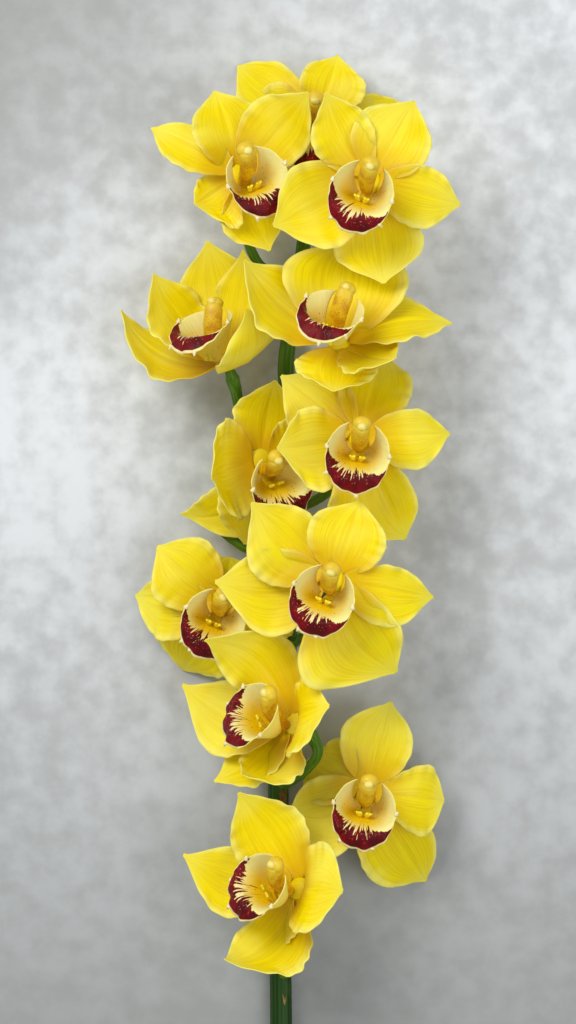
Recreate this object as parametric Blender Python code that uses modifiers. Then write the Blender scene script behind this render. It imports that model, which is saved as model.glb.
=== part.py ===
"""Cymbidium orchid stem, lying down with its blooms facing up.

Metres, +Z up, the spike along +Y. The origin is the middle of the bounding box's bottom face.
Each bloom is three nodes: its five tepals, its lip and its column. The spike and all pedicels are one node.
"""

import math

import bmesh
import bpy
import numpy as np
from mathutils import Vector

MM = 0.001
WELD = 0.00001

# Middle of the part's box, measured from the foot of the flowering part, in mm.
ORIGIN_X_MM = 4.35
ORIGIN_Y_MM = -60.3
ORIGIN_Z_MM = 0.0

# A tepal, in mm and degrees.
SEPAL_WIDTH = 41.0
PETAL_WIDTH = 36.0
TEPAL_SLACK = 1.03
TEPAL_THICKNESS = 1.1
TEPAL_CUP_DEG = (26.0, 14.0)
TEPAL_ROWS = 6
TEPAL_COLUMNS = 5
TEPAL_SHOULDER = 2.1
TEPAL_PEAK = 0.52
TEPAL_FOOT_POWER = 0.8
TEPAL_TIP_POWER = 1.5
TEPAL_TIP_CROWDING = 1.3
TEPAL_BASE_SHARE = 0.26
TEPAL_TIP_SHARE = 0.05
RIPPLE_MM = 1.3
RIPPLE_WAVES = 2.6
RIPPLE_OFFSET = 1.3
RIPPLE_STEP = 1.7
ROOT_RADIUS = 4.6
PETAL_FORWARD = 2.0
HUB_RADII = (6.2, 6.2, 3.6)
HUB_DROP = 3.0
MIDRIB_STEPS = 80
MOST_TURN = 4.4
HALVINGS = 40

# A lip: a bowl round the column's foot with a flared, recurved front.
LIP_PIVOT = (0.0, -9.6, 2.6)
LIP_RIM_CENTRE = (0.0, -11.4, 24.0)
LIP_RIM_RADIUS = 18.2
LIP_CHIN_EXTRA = 1.6
LIP_OPENING_DEG = (60.0, 20.0)
LIP_OPENING_POWER = 1.1
LIP_ROOT_SHARE = 0.04
LIP_SPREAD_POWER = 0.46
LIP_CHIN_POWER = 1.5
LIP_CHIN_SPREAD = 0.45
LIP_LOBE_CURL = 0.1
LIP_CHIN_REACH = 0.45
LIP_WALL_REACH = 1.18
LIP_WALL_POWER = 1.15
LIP_RECURVE = 5.0
LIP_RECURVE_START = 0.6
LIP_RECURVE_POWER = 1.6
LIP_LOBE_LIFT = 2.0
LIP_LOBE_FADE = 0.16
LIP_LOBE_POWER = 6
LIP_THICKNESS = 1.0
LIP_ROWS = 4
LIP_COLUMNS = 11
CALLUS_FOOT = (1.5, -13.2, 5.6)
CALLUS_HEAD = (2.6, -11.8, 14.0)
CALLUS_RADII = (1.5, 1.05)

# A column: an arch from above the lip's root to the anther cap.
COLUMN_FOOT = (0.0, -5.0, 1.1)
COLUMN_KNEE = (0.0, -2.5, 18.0)
COLUMN_END = (0.0, 4.0, 30.0)
COLUMN_RADII = (3.6, 4.6, 4.9)
CAP_RADII = (4.6, 4.6, 4.2)

# The spike and what grows from it.
STEM_FOOT_RADIUS = 6.2
STEM_TOP_RADIUS = 3.4
PEDICEL_SHARES = (0.0, 0.5, 0.8, 1.0)
PEDICEL_RADII = (2.7, 2.7, 3.9, 2.7)
SEAT_GAP = 0.3
BRACT_LENGTH = 13.0
BRACT_RADII = (3.4, 0.5)
BRACT_SEAT = 6.6
NECK_MM = 12.0
SEAT_MM = 2.5
PEDICEL_POINTS = 7
STEM_POINTS = 13
STEM_PATH = (
    (0.0, -362.0, 6.2),
    (0.0, -266.0, 6.2),
    (-1.5, -150.0, 6.5),
    (2.0, -90.0, 7.0),
    (4.7, -45.0, 8.0),
    (4.7, 50.0, 9.0),
    (2.6, 79.0, 10.0),
    (9.0, 120.0, 11.0),
    (14.0, 158.0, 10.0),
    (16.0, 176.0, 10.0),
)

YELLOW = (0.88, 0.70, 0.02, 1.0)
CREAM = (0.86, 0.74, 0.32, 1.0)
COLUMN_YELLOW = (0.75, 0.47, 0.03, 1.0)
GREEN = (0.06, 0.16, 0.02, 1.0)


def tepal(tip, bow=1.0, kind="sepal", **shape):
    """One blade: where its tip is in mm, bow 1 curls it forward and -1 back."""
    blade = {
        "tip": tip,
        "bow": bow,
        "slack": TEPAL_SLACK,
        "width": SEPAL_WIDTH if kind == "sepal" else PETAL_WIDTH,
        "forward": 0.0 if kind == "sepal" else PETAL_FORWARD,
        "cup": TEPAL_CUP_DEG,
        "halves": (1.0, 1.0),
        "peak": TEPAL_PEAK,
        "sweep": 0.0,
    }
    blade.update(shape)
    return blade


BLOOMS = {
    "a": {
        "centre": (18.0, 206.0, 25.0),
        "face": (-0.04, 0.15, 1.0),
        "up": (0.3, 0.95, 0.0),
        "route": ((15.0, 166.0, 10.0), (18.0, 186.0, 12.0)),
        "tepals": (
            tepal((30, 241, 16), -1, width=40, halves=(0.7, 1.0)),
            tepal((-23, 237, 0.6), -1, "petal", halves=(1.0, 0.7)),
            tepal((67, 215, 0.6), -1, "petal", halves=(0.45, 1.0)),
            tepal((-16, 204, 12), -1),
            tepal((38, 180, 12), -1),
        ),
    },
    "b": {
        "centre": (-22.0, 176.0, 53.0),
        "face": (0.2, 0.22, 0.95),
        "up": (-0.44, 0.93, 0.0),
        "route": ((11.0, 126.0, 12.0), (-12.0, 131.0, 24.0)),
        "tepals": (
            tepal((-35, 220, 42), -1, halves=(0.9, 1.0)),
            tepal((-68, 201, 38), -1, "petal", width=34, halves=(0.85, 0.6)),
            tepal((14, 217, 70), 1, "petal"),
            tepal((-45, 160, 60), 1, slack=1.08, width=32, halves=(1.4, 0.6)),
            tepal((-6, 136, 50), 1, width=36),
        ),
    },
    "c": {
        "centre": (46.0, 171.0, 76.0),
        "face": (-0.05, 0.07, 1.0),
        "up": (0.33, 0.94, 0.0),
        "route": ((12.0, 136.0, 13.0), (34.0, 140.0, 36.0)),
        "tepals": (
            tepal((69, 213, 62), -1, width=40, peak=0.47),
            tepal((23, 216, 80), 1, "petal", halves=(1.0, 0.75)),
            tepal((93, 159, 66), -1, "petal", halves=(0.75, 1.0)),
            tepal((-4, 147, 86), 1, width=46),
            tepal((53, 118, 72), 1, width=46, peak=0.62),
        ),
    },
    "d": {
        "centre": (-29.0, 81.0, 32.0),
        "face": (-0.27, 0.87, 0.42),
        "up": (0.38, 0.37, -0.53),
        "route": ((4.0, 30.0, 9.0), (-18.0, 44.0, 18.0)),
        "tepals": (
            tepal((-39, 143, 16), 1, width=44, peak=0.58),
            tepal((-67, 125, 30), 1, "petal", width=38, halves=(1.2, 0.9), peak=0.58),
            tepal((-20, 138, 26), 1, "petal"),
            tepal((-84, 106, 28), 1, slack=1.12, halves=(1.4, 0.8), peak=0.42),
            tepal((-18, 105, 70), 1, slack=1.15),
        ),
    },
    "e": {
        "centre": (30.0, 90.0, 65.0),
        "face": (0.06, 0.75, 0.65),
        "up": (0.5, 0.54, -0.67),
        "route": ((3.0, 60.0, 10.0), (14.0, 68.0, 26.0)),
        "tepals": (
            tepal((36, 141, 42), -1, width=64, peak=0.58),
            tepal((-19, 130, 70), 1, "petal", width=46, halves=(1.2, 1.0)),
            tepal((89, 98, 52), -1, "petal", halves=(0.9, 1.0)),
            tepal((27, 62, 82), 1),
            tepal((59, 79, 84), 1),
        ),
    },
    "f": {
        "centre": (41.0, 39.0, 60.0),
        "face": (0.0, 0.05, 1.0),
        "up": (0.14, 0.98, 0.0),
        "route": ((4.7, 0.0, 8.6), (26.0, 12.0, 30.0)),
        "tepals": (
            tepal((54, 83, 28), -1, width=38),
            tepal((0, 71, 52), 1, "petal"),
            tepal((88, 41, 48), -1, "petal", halves=(0.7, 1.0)),
            tepal((-2, 33, 72), 1, halves=(1.2, 0.9)),
            tepal((65, -14, 46), -1, width=46, halves=(0.6, 1.45), peak=0.6),
        ),
    },
    "g": {
        "centre": (-10.0, 27.0, 34.0),
        "face": (0.3, -0.1, 0.95),
        "up": (-0.25, 0.95, 0.2),
        "route": ((3.0, -28.0, 8.3), (-10.0, -22.0, 13.0), (-22.0, -17.0, 15.0), (-33.0, -3.0, 13.0)),
        "tepals": (
            tepal((-3, 69, 36), 1, halves=(0.9, 1.0)),
            tepal((-36, 18, 66), 1, "petal", width=52),
            tepal((15, 34, 24), -1, "petal"),
            tepal((-53, -1, 18), -1, width=30, sweep=-12),
            tepal((-19, -17, 25), -1),
        ),
    },
    "h": {
        "centre": (27.0, -35.0, 76.0),
        "face": (-0.08, 0.04, 1.0),
        "up": (0.35, 0.93, 0.0),
        "route": ((4.0, -72.0, 7.5), (14.0, -62.0, 34.0)),
        "tepals": (
            tepal((41, 6, 72), -1, width=40),
            tepal((-15, 5, 74), 1, "petal", width=42, halves=(1.2, 0.75)),
            tepal((79, -44, 64), -1, "petal", halves=(0.65, 1.05)),
            tepal((-34, -36, 72), 1, sweep=-6, width=44),
            tepal((60, -83, 62), -1, width=48, halves=(0.9, 1.4), peak=0.55, sweep=7),
        ),
    },
    "i": {
        "centre": (-31.0, -47.0, 34.0),
        "face": (0.0, 0.0, 1.0),
        "up": (0.37, 0.93, 0.0),
        "route": ((2.0, -90.0, 7.1), (-18.0, -76.0, 9.0)),
        "tepals": (
            tepal((-65, -18, 24), -1, halves=(1.0, 0.9)),
            tepal((-77, -44, 10), -1, "petal", halves=(1.2, 0.6)),
            tepal((-27, -24, 6), -1, "petal", width=30),
            tepal((-52, -84, 0.6), -1, peak=0.55),
            tepal((6, -64, 28), -1),
        ),
    },
    "j": {
        "centre": (6.0, -109.0, 54.0),
        "face": (-0.53, 0.44, 0.72),
        "up": (0.71, 0.49, 0.22),
        "route": ((-1.0, -146.0, 7.0), (10.0, -138.0, 28.0), (19.0, -127.0, 40.0)),
        "tepals": (
            tepal((-39, -66, 75), 1, sweep=10, width=36, cup=(18.0, 8.0)),
            tepal((-35, -141, 40), 1, width=34),
            tepal((-52, -91, 22), 1, "petal", width=40, sweep=-8, cup=(18.0, 8.0)),
            tepal((25, -100, 74), -1, "petal", slack=1.2, width=42, halves=(0.8, 1.3)),
            tepal((-20, -136, 66), 1, slack=1.25),
        ),
    },
    "k": {
        "centre": (45.0, -147.0, 34.0),
        "face": (0.0, 0.09, 1.0),
        "up": (0.16, 0.98, 0.0),
        "route": ((-1.0, -206.0, 6.8), (20.0, -187.0, 9.0), (34.0, -167.0, 10.0)),
        "tepals": (
            tepal((58, -100, 22), -1, halves=(1.0, 0.8)),
            tepal((14, -131, 16), -1, "petal"),
            tepal((86, -152, 20), -1, "petal", width=40, halves=(0.85, 1.0), peak=0.65),
            tepal((4, -157, 26), -1, sweep=-8),
            tepal((77, -196, 0.6), -1, halves=(0.8, 1.15)),
        ),
    },
    "l": {
        "centre": (8.0, -195.0, 54.0),
        "face": (-0.48, 0.36, 0.8),
        "up": (0.78, 0.62, 0.19),
        "route": ((-1.0, -248.0, 6.2), (6.0, -237.0, 20.0), (11.0, -222.0, 34.0)),
        "tepals": (
            tepal((-22, -146, 54), 1),
            tepal((-51, -179, 44), 1, "petal", width=36, sweep=-6),
            tepal((32, -196, 70), -1, "petal", slack=1.2, width=44, halves=(1.0, 1.2)),
            tepal((-10, -217, 34), 1),
            tepal((-29, -232, 64), 1, slack=1.25, halves=(1.4, 0.8)),
        ),
    },
}


def placed(point):
    """A point in mm of the drawing's frame, as metres of the part's frame."""
    x, y, z = point
    return Vector(((x - ORIGIN_X_MM) * MM, (y - ORIGIN_Y_MM) * MM, (z - ORIGIN_Z_MM) * MM))


def unit(vector):
    vector = np.asarray(vector, float)
    return vector / np.linalg.norm(vector)


def bloom_axes(bloom):
    """The bloom's own right, dorsal and facing directions."""
    face = unit(bloom["face"])
    up = np.asarray(bloom["up"], float)
    up = unit(up - face * (up @ face))
    return np.cross(up, face), up, face


def in_bloom(bloom, local):
    right, up, face = bloom_axes(bloom)
    return np.asarray(bloom["centre"], float) + local[0] * right + local[1] * up + local[2] * face


def turned_track(total, shares):
    """Headings and points of a unit-length plane curve that turns by total."""
    heading = total * shares
    steps = np.stack([np.cos(heading), np.sin(heading)], axis=1)
    middles = (steps[1:] + steps[:-1]) / 2
    track = np.concatenate([[[0.0, 0.0]], np.cumsum(middles, axis=0) / len(middles)])
    return steps, track


def midrib(base, tip, length, facing, bow, rows):
    """Points and tangents of a bent midrib of this length that runs from base to tip."""
    chord = tip - base
    reach = np.linalg.norm(chord)
    along = chord / reach
    forward = unit(facing - along * (facing @ along))
    shares = np.linspace(0.0, 1.0, MIDRIB_STEPS + 1)
    low, high = 0.0, MOST_TURN
    for _ in range(HALVINGS):
        total = (low + high) / 2
        steps, track = turned_track(total, shares)
        low, high = (total, high) if np.hypot(*track[-1]) * length > reach else (low, total)
    lean = math.atan2(track[-1, 1], track[-1, 0])
    scale = reach / np.hypot(*track[-1])
    turn = np.array([[math.cos(lean), -math.sin(lean)], [math.sin(lean), math.cos(lean)]])
    track = track @ turn * scale
    steps = steps @ turn
    side = forward * bow
    points, tangents = [], []
    for share in row_shares(rows):
        u = [np.interp(share, shares, track[:, i]) for i in (0, 1)]
        t = [np.interp(share, shares, steps[:, i]) for i in (0, 1)]
        points.append(base + along * u[0] + side * u[1])
        tangents.append(unit(along * t[0] + side * t[1]))
    return np.array(points), np.array(tangents)


def half_width(share, width, peak):
    """An ovate blade: narrower at its foot, widest at the share called peak, with a blunt point."""
    power = TEPAL_FOOT_POWER if share < peak else TEPAL_TIP_POWER
    body = (1.0 - abs(2.0 * share ** (math.log(0.5) / math.log(peak)) - 1.0) ** TEPAL_SHOULDER) ** power
    foot = TEPAL_BASE_SHARE * (1.0 - share) ** 2
    return width / 2 * (body + foot + TEPAL_TIP_SHARE * share**6)


def row_shares(rows):
    """Shares of the length at which a blade has its rows, closer together towards the tip."""
    return 1.0 - (1.0 - np.linspace(0.0, 1.0, rows)) ** TEPAL_TIP_CROWDING


def blade_points(bloom, blade, rows, columns):
    """A grid of points, rows along the midrib and columns across, in mm."""
    right, up, face = bloom_axes(bloom)
    centre = np.asarray(bloom["centre"], float)
    tip = np.asarray(blade["tip"], float)
    outward = tip - centre
    outward = unit(outward - face * (outward @ face))
    base = centre + outward * ROOT_RADIUS - face * (HUB_DROP - blade["forward"])
    length = blade["slack"] * np.linalg.norm(tip - base)
    points, tangents = midrib(base, tip, length, face, blade["bow"], rows)
    across = unit(np.cross(tip - base, face))
    grid = []
    for i, share in enumerate(row_shares(rows)):
        tangent = tangents[i]
        side = unit(across - tangent * (across @ tangent))
        normal = np.cross(side, tangent)
        width = half_width(share, blade["width"], blade["peak"])
        cup = math.radians(blade["cup"][0] * (1 - share) + blade["cup"][1] * share)
        middle = points[i] + across * blade["sweep"] * math.sin(math.pi * share)
        line = []
        for v in np.linspace(-1.0, 1.0, columns):
            bend = cup * v
            half = width * blade["halves"][1 if v > 0 else 0]
            reach = half * math.sin(bend) / cup
            turn = 2 * math.pi * RIPPLE_WAVES * share + blade["phase"]
            wave = math.sin(turn + RIPPLE_OFFSET if v > 0 else turn)
            rise = half * (1 - math.cos(bend)) / cup
            rise += RIPPLE_MM * abs(v) ** 3 * wave * math.sin(math.pi * share)
            line.append(middle + side * reach + normal * rise)
        grid.append(line)
    return np.array(grid)


def lip_point(share, angle):
    """The lip's bowl in the bloom's own frame: share 0 at its root to 1 at its rim, angle 0 at the chin."""
    pivot = np.array(LIP_PIVOT)
    rim = np.array(LIP_RIM_CENTRE)
    chin = max(0.0, math.cos(angle)) ** LIP_CHIN_POWER
    radius = LIP_RIM_RADIUS + LIP_CHIN_EXTRA * math.cos(angle) ** 2
    spread = share ** (LIP_SPREAD_POWER + LIP_CHIN_SPREAD * chin)
    flare = max(0.0, (share - LIP_RECURVE_START) / (1.0 - LIP_RECURVE_START))
    spread -= LIP_LOBE_CURL * (1 - chin) * flare**2
    centre = pivot + (rim - pivot) * np.array([1.0, share, 1.0])
    out = np.array([math.sin(angle), -math.cos(angle), 0.0])
    reach = LIP_WALL_REACH + LIP_CHIN_REACH * chin
    rise = math.sin(min(share * reach, 1.0) * math.pi / 2) ** LIP_WALL_POWER
    height = (rim[2] - pivot[2]) * rise
    height -= LIP_RECURVE * chin * flare**LIP_RECURVE_POWER
    height += LIP_LOBE_LIFT * (1 - chin) * share**2
    return np.array([centre[0], centre[1], pivot[2] + height]) + out * radius * spread


def lip_angles(share, columns):
    """Angles across the lip at this share: its side lobes close round the column towards the rim."""
    root, rim = LIP_OPENING_DEG
    opening = math.radians(rim + (root - rim) * (1.0 - share) ** LIP_OPENING_POWER)
    return np.linspace(-math.pi + opening, math.pi - opening, columns)


def lip_grid(bloom, rows, columns):
    grid = []
    for share in np.linspace(LIP_ROOT_SHARE, 1.0, rows):
        line = []
        angles = lip_angles(share, columns)
        for angle in angles:
            # The ends of the side lobes are rounded off.
            fade = abs(angle) / angles[-1]
            reach = share * (1.0 - LIP_LOBE_FADE * fade**LIP_LOBE_POWER)
            line.append(in_bloom(bloom, lip_point(reach, angle)))
        grid.append(line)
    return np.array(grid)


def material(name, colour, roughness):
    made = bpy.data.materials.new(name)
    made.use_nodes = True
    shader = made.node_tree.nodes["Principled BSDF"]
    shader.inputs["Base Color"].default_value = colour
    shader.inputs["Roughness"].default_value = roughness
    return made


def new_object(name, mesh, collection):
    made = bpy.data.objects.new(name, mesh)
    collection.objects.link(made)
    return made


def grid_object(name, grid, collection):
    """A surface through a grid of points in mm, split into triangles by one rule."""
    rows, columns = grid.shape[:2]
    build = bmesh.new()
    corners = [[build.verts.new(placed(point)) for point in line] for line in grid]
    for i in range(rows - 1):
        for j in range(columns - 1):
            a, b = corners[i][j], corners[i][j + 1]
            c, d = corners[i + 1][j + 1], corners[i + 1][j]
            if j < (columns - 1) / 2:
                build.faces.new((a, b, c))
                build.faces.new((a, c, d))
            else:
                build.faces.new((a, b, d))
                build.faces.new((b, c, d))
    mesh = bpy.data.meshes.new(name)
    build.to_mesh(mesh)
    build.free()
    return new_object(name, mesh, collection)


def thicken(obj, thickness):
    shell = obj.modifiers.new("shell", "SOLIDIFY")
    shell.thickness = thickness * MM
    shell.offset = 0.0
    shell.use_even_offset = False


def ball(name, centre, radii, axes, collection, segments, rings):
    """An ellipsoid with its three half-axes along the given directions."""
    build = bmesh.new()
    bmesh.ops.create_uvsphere(build, u_segments=segments, v_segments=rings, radius=1.0)
    for vert in build.verts:
        point = np.asarray(centre, float)
        for share, radius, axis in zip(vert.co, radii, axes):
            point = point + share * radius * np.asarray(axis)
        vert.co = placed(point)
    mesh = bpy.data.meshes.new(name)
    build.to_mesh(mesh)
    build.free()
    return new_object(name, mesh, collection)


def tube(name, points, radii, collection, sides_resolution=2):
    """A round tube through points in mm, as a closed mesh."""
    curve = bpy.data.curves.new(name, "CURVE")
    curve.dimensions = "3D"
    curve.bevel_depth = MM
    curve.bevel_resolution = sides_resolution
    curve.use_fill_caps = True
    spline = curve.splines.new("POLY")
    spline.points.add(len(points) - 1)
    for target, point, radius in zip(spline.points, points, radii):
        target.co = (*placed(point), 1.0)
        target.radius = radius
    guide = bpy.data.objects.new(name + "_guide", curve)
    bpy.context.scene.collection.objects.link(guide)
    bpy.context.view_layer.update()
    graph = bpy.context.evaluated_depsgraph_get()
    mesh = bpy.data.meshes.new_from_object(guide.evaluated_get(graph))
    build = bmesh.new()
    build.from_mesh(mesh)
    bmesh.ops.remove_doubles(build, verts=build.verts, dist=WELD)
    bmesh.ops.recalc_face_normals(build, faces=build.faces)
    build.to_mesh(mesh)
    build.free()
    made = new_object(name, mesh, collection)
    bpy.data.objects.remove(guide)
    return made


def smooth_path(points, count):
    """Points of a Catmull-Rom curve through the given points."""
    points = np.asarray(points, float)
    padded = np.concatenate([[2 * points[0] - points[1]], points, [2 * points[-1] - points[-2]]])
    path = []
    for share in np.linspace(0, len(points) - 1, count):
        i = min(int(share), len(points) - 2)
        t = share - i
        p0, p1, p2, p3 = padded[i : i + 4]
        path.append(
            0.5
            * (
                2 * p1
                + (p2 - p0) * t
                + (2 * p0 - 5 * p1 + 4 * p2 - p3) * t**2
                + (3 * p1 - p0 - 3 * p2 + p3) * t**3
            )
        )
    return np.array(path)


def fused(base, others, solver="EXACT"):
    """Joins the objects of a collection to the base by one applied Boolean union, and removes them."""
    union = base.modifiers.new("union", "BOOLEAN")
    union.operation = "UNION"
    union.operand_type = "COLLECTION"
    union.collection = others
    union.solver = solver
    bpy.context.view_layer.update()
    graph = bpy.context.evaluated_depsgraph_get()
    mesh = bpy.data.meshes.new_from_object(base.evaluated_get(graph))
    base.modifiers.clear()
    base.data = mesh
    for other in list(others.objects):
        bpy.data.objects.remove(other)
    bpy.data.collections.remove(others)
    return base


def triangulated(obj):
    build = bmesh.new()
    build.from_mesh(obj.data)
    bmesh.ops.triangulate(build, faces=build.faces)
    build.to_mesh(obj.data)
    build.free()


def repeats_collection(name):
    made = bpy.data.collections.new(name)
    bpy.context.scene.collection.children.link(made)
    return made


def make_tepals(key, bloom, parts, finish):
    name = f"bloom_{key}_tepals"
    right, up, face = bloom_axes(bloom)
    hub_centre = in_bloom(bloom, (0.0, 0.0, -HUB_DROP))
    hub = ball(name, hub_centre, HUB_RADII, (right, up, face), parts, 7, 4)
    blades = repeats_collection(name + "_blades")
    for i, blade in enumerate(bloom["tepals"]):
        blade["phase"] = RIPPLE_STEP * i + ord(key)
        grid = blade_points(bloom, blade, TEPAL_ROWS, TEPAL_COLUMNS)
        made = grid_object(f"{name}_{i}", grid, blades)
        thicken(made, TEPAL_THICKNESS)
    fused(hub, blades)
    hub.data.materials.clear()
    hub.data.materials.append(finish)
    return hub


def make_lip(key, bloom, parts, finish):
    name = f"bloom_{key}_lip"
    base = grid_object(name, lip_grid(bloom, LIP_ROWS, LIP_COLUMNS), parts)
    thicken(base, LIP_THICKNESS)
    ridges = repeats_collection(name + "_ridges")
    for side in (-1, 1):
        foot, head = (in_bloom(bloom, (side * x, y, z)) for x, y, z in (CALLUS_FOOT, CALLUS_HEAD))
        tube(f"{name}_{side}", (foot, head), CALLUS_RADII, ridges, 0)
    fused(base, ridges)
    base.data.materials.clear()
    base.data.materials.append(finish)
    return base


def make_column(key, bloom, parts, finish):
    name = f"bloom_{key}_column"
    right, up, face = bloom_axes(bloom)
    path = [in_bloom(bloom, point) for point in (COLUMN_FOOT, COLUMN_KNEE, COLUMN_END)]
    base = tube(name, path, COLUMN_RADII, parts, 1)
    caps = repeats_collection(name + "_caps")
    ball(name + "_cap", path[-1], CAP_RADII, (right, up, face), caps, 6, 4)
    fused(base, caps)
    base.data.materials.clear()
    base.data.materials.append(finish)
    return base


def pedicel_path(bloom):
    """From inside the spike, out and up to the back of the bloom's hub."""
    face = bloom_axes(bloom)[2]
    back = in_bloom(bloom, (0.0, 0.0, -HUB_DROP - HUB_RADII[2] - SEAT_GAP))
    way = smooth_path((*bloom["route"], back - face * NECK_MM, back - face * SEAT_MM), PEDICEL_POINTS)
    return np.concatenate([way, [back]])


def make_stem(parts, finish):
    path = smooth_path(STEM_PATH, STEM_POINTS)
    radii = np.linspace(STEM_FOOT_RADIUS, STEM_TOP_RADIUS, len(path))
    base = tube("stem", path, radii, parts, 2)
    branches = repeats_collection("stem_branches")
    for key, bloom in BLOOMS.items():
        points = pedicel_path(bloom)
        shares = np.linspace(0, 1, len(points))
        radii = np.interp(shares, PEDICEL_SHARES, PEDICEL_RADII)
        tube(f"pedicel_{key}", points, radii, branches, 1)
        foot, first = points[0], points[1]
        out = unit([first[0] - foot[0], 0.0, first[2] - foot[2]])
        root = foot + out * (BRACT_SEAT - BRACT_RADII[0])
        tip = foot + out * BRACT_SEAT - np.array([0.0, BRACT_LENGTH, 0.0])
        tube(f"bract_{key}", (root, tip), BRACT_RADII, branches, 0)
    fused(base, branches)
    base.data.materials.clear()
    base.data.materials.append(finish)
    return base


def main():
    for old in list(bpy.data.objects):
        bpy.data.objects.remove(old)
    parts = bpy.data.collections.new("cymbidium_stem")
    bpy.context.scene.collection.children.link(parts)
    tepal_finish = material("tepal_yellow", YELLOW, 0.45)
    lip_finish = material("lip_cream", CREAM, 0.5)
    column_finish = material("column_yellow", COLUMN_YELLOW, 0.45)
    stem_finish = material("stem_green", GREEN, 0.5)
    make_stem(parts, stem_finish)
    for key, bloom in BLOOMS.items():
        make_tepals(key, bloom, parts, tepal_finish)
        make_lip(key, bloom, parts, lip_finish)
        make_column(key, bloom, parts, column_finish)
    for obj in list(parts.objects):
        triangulated(obj)


main()
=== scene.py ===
"""Looks of the cymbidium orchid stem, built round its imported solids.

Every bloom is drawn again by the formulas of the solids, on finer grids, with thin edges, veins and colour.
The camera looks straight down on the stem, which lies on a plain floor.
Lengths are in mm in the drawing's frame until a mesh is made in metres.
"""

import math

import bpy
import numpy as np
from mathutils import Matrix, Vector


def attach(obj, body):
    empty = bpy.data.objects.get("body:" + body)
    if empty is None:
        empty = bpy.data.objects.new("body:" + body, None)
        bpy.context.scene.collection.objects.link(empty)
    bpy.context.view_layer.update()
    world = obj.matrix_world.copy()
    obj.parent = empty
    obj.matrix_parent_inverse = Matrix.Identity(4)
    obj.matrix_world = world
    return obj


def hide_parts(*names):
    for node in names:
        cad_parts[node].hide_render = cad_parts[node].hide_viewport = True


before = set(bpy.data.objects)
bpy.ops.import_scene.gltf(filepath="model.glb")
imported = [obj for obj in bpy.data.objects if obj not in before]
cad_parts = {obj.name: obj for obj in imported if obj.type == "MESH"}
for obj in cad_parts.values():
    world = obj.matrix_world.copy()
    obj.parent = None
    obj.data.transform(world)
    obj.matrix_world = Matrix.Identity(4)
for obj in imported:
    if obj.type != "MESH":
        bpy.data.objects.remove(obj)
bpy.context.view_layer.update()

MM = 0.001

# Where the part's origin lies in the drawing's frame, in mm.
ORIGIN_X_MM = 4.35
ORIGIN_Y_MM = -60.3
ORIGIN_Z_MM = 0.0

# A tepal, in mm and degrees.
SEPAL_WIDTH = 41.0
PETAL_WIDTH = 36.0
TEPAL_SLACK = 1.03
TEPAL_CUP_DEG = (26.0, 14.0)
TEPAL_SHOULDER = 2.1
TEPAL_PEAK = 0.52
TEPAL_FOOT_POWER = 0.8
TEPAL_TIP_POWER = 1.5
TEPAL_TIP_CROWDING = 1.3
TEPAL_BASE_SHARE = 0.26
TEPAL_TIP_SHARE = 0.05
RIPPLE_MM = 1.3
RIPPLE_WAVES = 2.6
RIPPLE_OFFSET = 1.3
RIPPLE_STEP = 1.7
RIPPLE_POWER = 3
ROOT_RADIUS = 4.6
PETAL_FORWARD = 2.0
HUB_RADII = (6.2, 6.2, 3.6)
HUB_DROP = 3.0
MIDRIB_STEPS = 80
MOST_TURN = 4.4
HALVINGS = 40

# A lip: a bowl round the column's foot with a flared, recurved front.
LIP_PIVOT = (0.0, -9.6, 2.6)
LIP_RIM_CENTRE = (0.0, -11.4, 24.0)
LIP_RIM_RADIUS = 18.2
LIP_CHIN_EXTRA = 1.6
LIP_OPENING_DEG = (60.0, 20.0)
LIP_OPENING_POWER = 1.1
LIP_ROOT_SHARE = 0.04
LIP_SPREAD_POWER = 0.46
LIP_CHIN_POWER = 1.5
LIP_CHIN_SPREAD = 0.45
LIP_LOBE_CURL = 0.1
LIP_CHIN_REACH = 0.45
LIP_WALL_REACH = 1.18
LIP_WALL_POWER = 1.15
LIP_RECURVE = 5.0
LIP_RECURVE_START = 0.6
LIP_RECURVE_POWER = 1.6
LIP_LOBE_LIFT = 2.0
LIP_LOBE_FADE = 0.16
LIP_LOBE_POWER = 6
CALLUS_FOOT = (1.5, -13.2, 5.6)
CALLUS_HEAD = (2.6, -11.8, 14.0)

# A column: an arch from above the lip's root to the anther cap.
COLUMN_FOOT = (0.0, -5.0, 1.1)
COLUMN_KNEE = (0.0, -2.5, 18.0)
COLUMN_END = (0.0, 4.0, 30.0)
COLUMN_RADII = (3.6, 4.6, 4.9)

# The spike and what grows from it.
STEM_FOOT_RADIUS = 6.2
STEM_TOP_RADIUS = 3.4
PEDICEL_SHARES = (0.0, 0.5, 0.8, 1.0)
PEDICEL_RADII = (2.7, 2.7, 3.9, 2.7)
SEAT_GAP = 0.3
BRACT_LENGTH = 13.0
BRACT_SEAT = 6.6
NECK_MM = 12.0
SEAT_MM = 2.5
STEM_PATH = (
    (0.0, -362.0, 6.2),
    (0.0, -266.0, 6.2),
    (-1.5, -150.0, 6.5),
    (2.0, -90.0, 7.0),
    (4.7, -45.0, 8.0),
    (4.7, 50.0, 9.0),
    (2.6, 79.0, 10.0),
    (9.0, 120.0, 11.0),
    (14.0, 158.0, 10.0),
    (16.0, 176.0, 10.0),
)


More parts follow.
